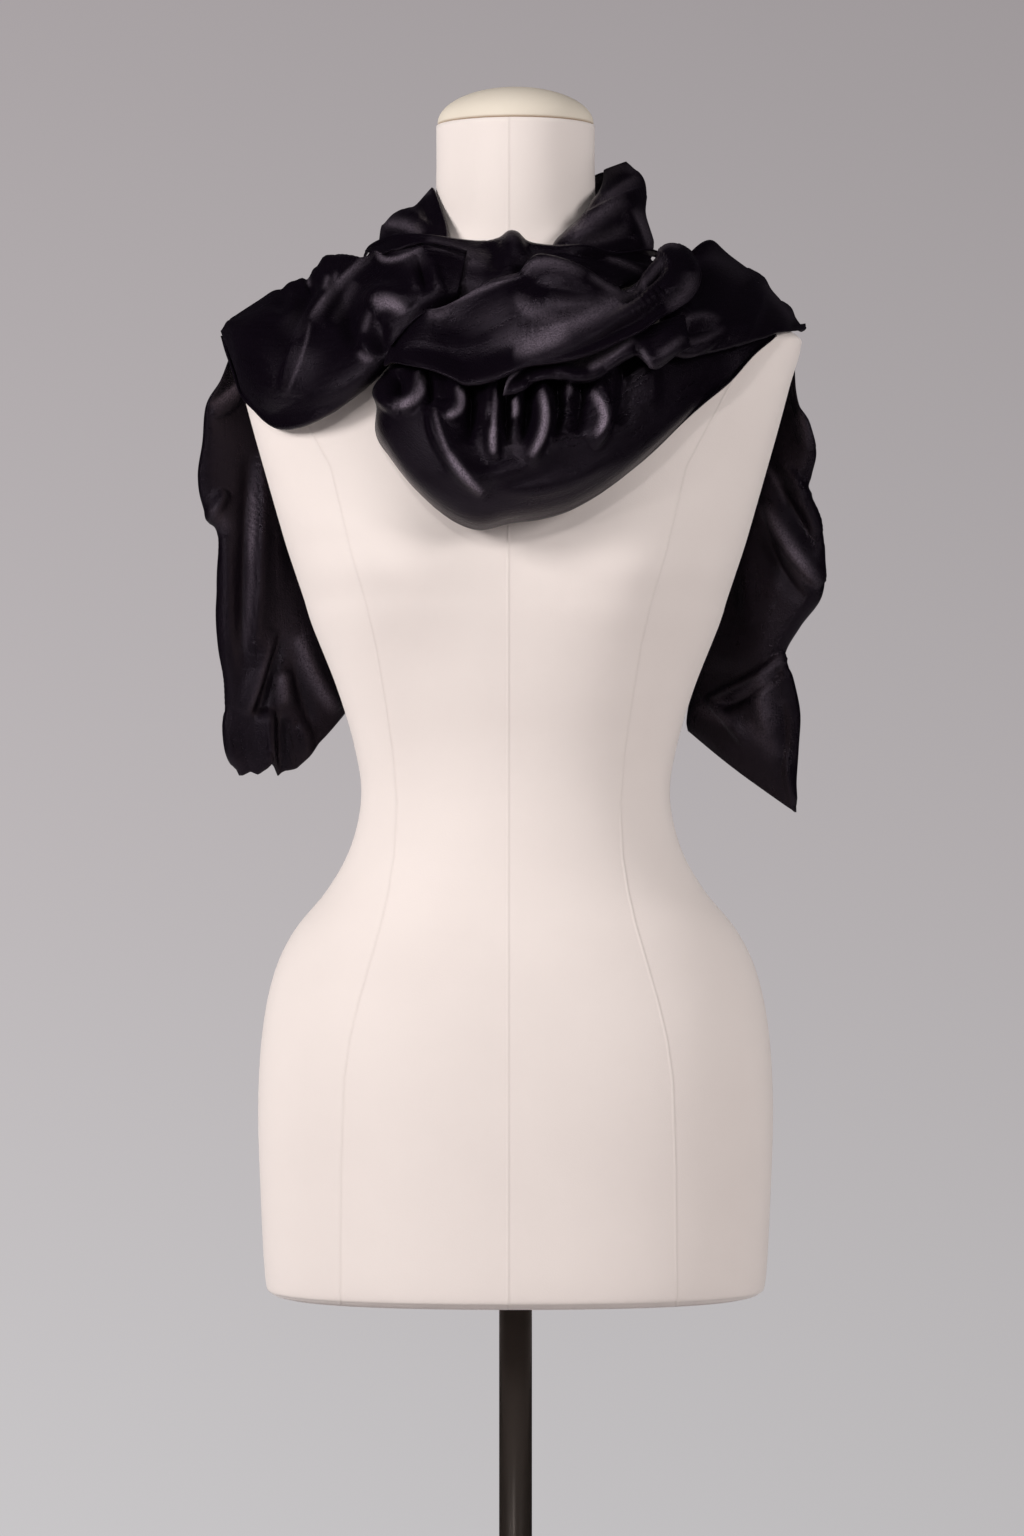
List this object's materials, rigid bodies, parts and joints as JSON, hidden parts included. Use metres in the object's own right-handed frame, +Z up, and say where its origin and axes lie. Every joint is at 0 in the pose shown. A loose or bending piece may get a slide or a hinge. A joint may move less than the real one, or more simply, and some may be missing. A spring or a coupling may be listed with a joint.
{
  "type": "velvet scarf on a dress form",
  "caption": "Long shirred velvet scarf wound round the neck of a limbless dress form, with a gathered cowl in front and its ends hanging behind the shoulders, on a pole stand.",
  "frame": {"origin": "centre of the flat underside of the stand's disc base", "axes": "+Z up along the pole; the form faces -Y, so that its own left shoulder is on +X"},
  "size_m": [0.445, 0.3609, 1.5],
  "materials": {
    "black_velvet": "silk-like velvet, soft sheen",
    "jersey": "matt stretch jersey",
    "cap_cover": "matt",
    "dark_steel": "satin"
  },
  "bodies": {
    "root": {"base": "dark_steel", "pole": "dark_steel", "dress_form": "jersey", "neck_cap": "cap_cover", "collar_back": "black_velvet", "collar_left": "black_velvet", "collar_right": "black_velvet", "neck_front": "black_velvet", "front_cowl": "black_velvet", "right_shoulder": "black_velvet", "ruffle": "black_velvet", "front_swag": "black_velvet", "left_shoulder": "black_velvet", "left_tail": "black_velvet", "right_tail": "black_velvet"}
  },
  "joints": []
}
